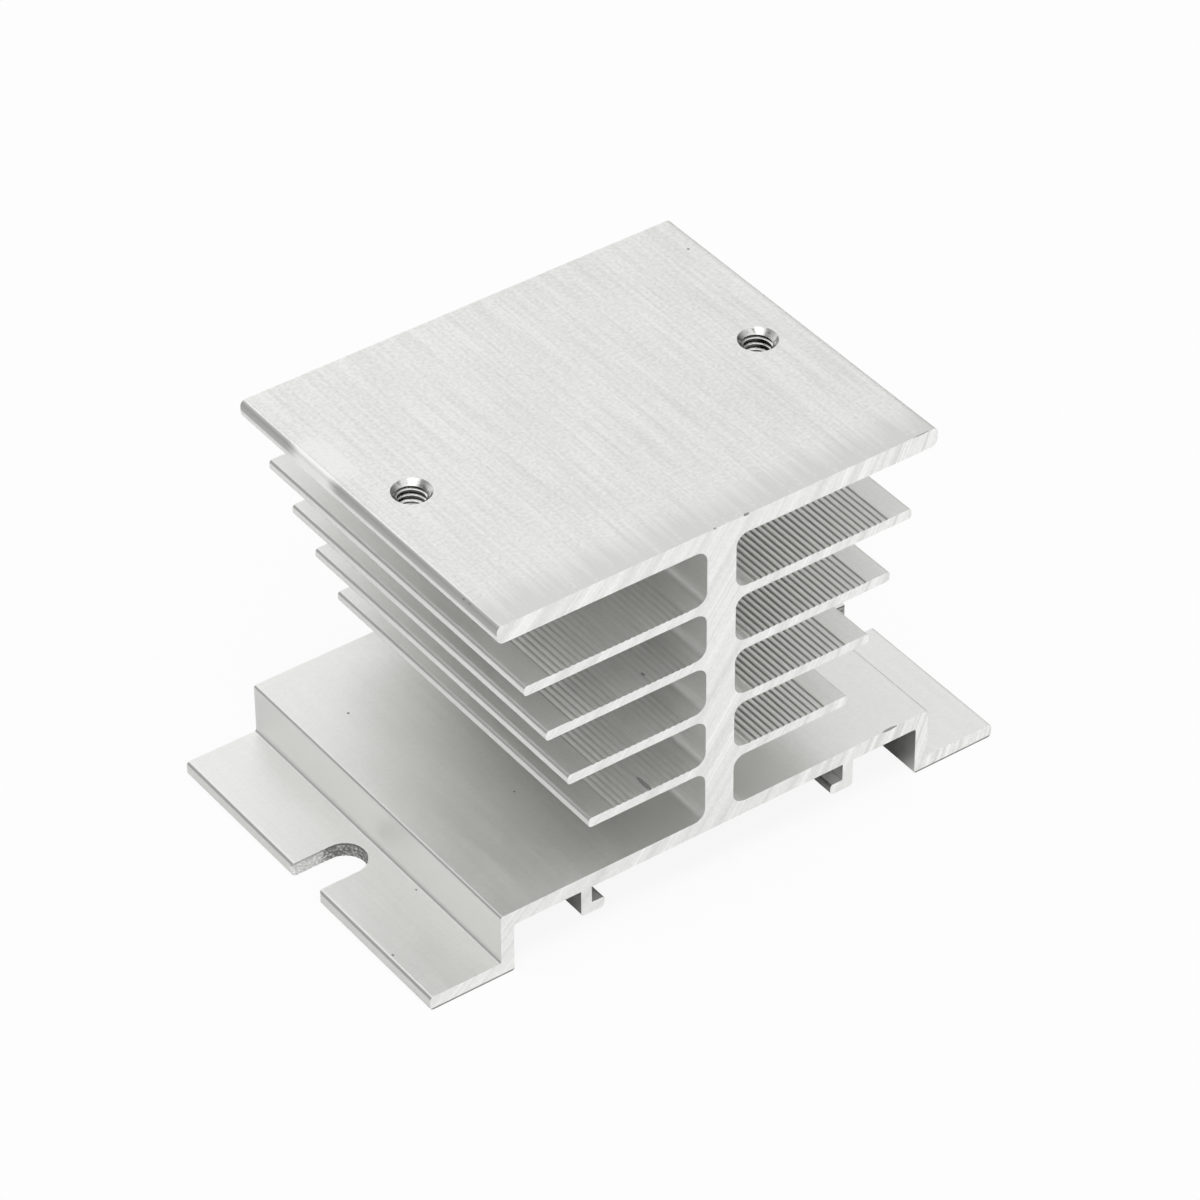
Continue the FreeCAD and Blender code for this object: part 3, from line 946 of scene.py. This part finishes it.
# The bore's colours are painted shade, deep between the turns.
BORE_DARK = (0.05, 0.05, 0.045, 1)
BORE_LIGHT = (0.16, 0.16, 0.15, 1)
BORE_TONE, BORE_CONTRAST = 0.5, 0.5
BORE_ROUGHNESS, BORE_ROUGHNESS_SWING = 0.28, 0.12
CUT_DULL = (0.55, 0.55, 0.54, 1)
CUT_BRIGHT = (1.0, 1.0, 0.99, 1)
CUT_SHADE_AND_STAIN = (0.14, 0.14, 0.13, 1)
CUT_TONE, CUT_CONTRAST, THREAD_PAINTED_LIGHT = 0.1, 0.6, 0.9
CUT_DEPTH = 0.006
CUT_ROUGHNESS, CUT_ROUGHNESS_SWING = 0.22, 0.10
INSIDE_UP = (49.15, 48.95)
THREAD_ROOT_OUT = (1.84, 1.96)
STAIN_SIZE, STAIN_EDGE, STAIN_SHARE = 0.9, (0.10, 0.45), 0.8

bore = Finish(materials[BORE])
rings = waves(place_on(bore), RING_SIZE)
bore.end(
    "Principled BSDF",
    Base_Color=blend(BORE_TONE + rings * BORE_CONTRAST, BORE_DARK, BORE_LIGHT),
    Metallic=1.0,
    Roughness=BORE_ROUGHNESS + rings * BORE_ROUGHNESS_SWING,
)

cut_metal = Finish(materials[CUT])
place = place_on(cut_metal)
rings = waves(place, RING_SIZE)
across = abs(part(place, "X")) - SCREW_SPACING / MM / 2
along, height = part(place, "Y"), part(place, "Z")
from_axis = (across * across + along * along) ** 0.5
inside = between(height, *INSIDE_UP)
stains = between(waves(place, (STAIN_SIZE,) * 3, detail=1.0), *STAIN_EDGE)
# Painted shade in the thread's roots, and random stains on the countersink.
shade_and_stains = between(from_axis, *THREAD_ROOT_OUT) * inside + stains * (1 - inside) * STAIN_SHARE
# Painted light: the thread's flanks inside the hole are made brighter.
tone = CUT_TONE + rings * CUT_CONTRAST + inside * THREAD_PAINTED_LIGHT
cut_metal.end(
    "Principled BSDF",
    Base_Color=blend(shade_and_stains, blend(tone, CUT_DULL, CUT_BRIGHT), CUT_SHADE_AND_STAIN),
    Metallic=1.0,
    Roughness=CUT_ROUGHNESS + rings * CUT_ROUGHNESS_SWING,
    Normal=relief(rings, CUT_DEPTH),
)
print(f"bores and cut metal done, {len(cut_metal.tree.nodes)} nodes")

# %% [markdown]
# The hollows of the knocks are in the mesh. Their dark, uneven colour is painted shade, and
# their finish is dull, so one noise drives the colour, the roughness and the bump.

# %% Dark pits
# The pit colours are painted shade in the hollows.
PIT_DARK = (0.22, 0.22, 0.21, 1)
PIT_LIGHT = (0.52, 0.52, 0.51, 1)
PIT_TONE = 0.5
PIT_NOISE_SIZE, PIT_NOISE_DEPTH = 0.15, 0.02
PIT_METAL = 0.8
PIT_ROUGHNESS, PIT_ROUGHNESS_SWING = 0.6, 0.2

pit = Finish(materials[PIT])
pit_noise = waves(place_on(pit), (PIT_NOISE_SIZE,) * 3)
pit.end(
    "Principled BSDF",
    Base_Color=blend(PIT_TONE + pit_noise, PIT_DARK, PIT_LIGHT),
    Metallic=PIT_METAL,
    Roughness=PIT_ROUGHNESS + pit_noise * PIT_ROUGHNESS_SWING,
    Normal=relief(pit_noise, PIT_NOISE_DEPTH),
)
print(f"dark pits done, {len(pit.tree.nodes)} nodes")

# %% [markdown]
# Last, colours are shown as they are.

# %% Show colours as they are
bpy.context.scene.view_settings.view_transform = "Standard"
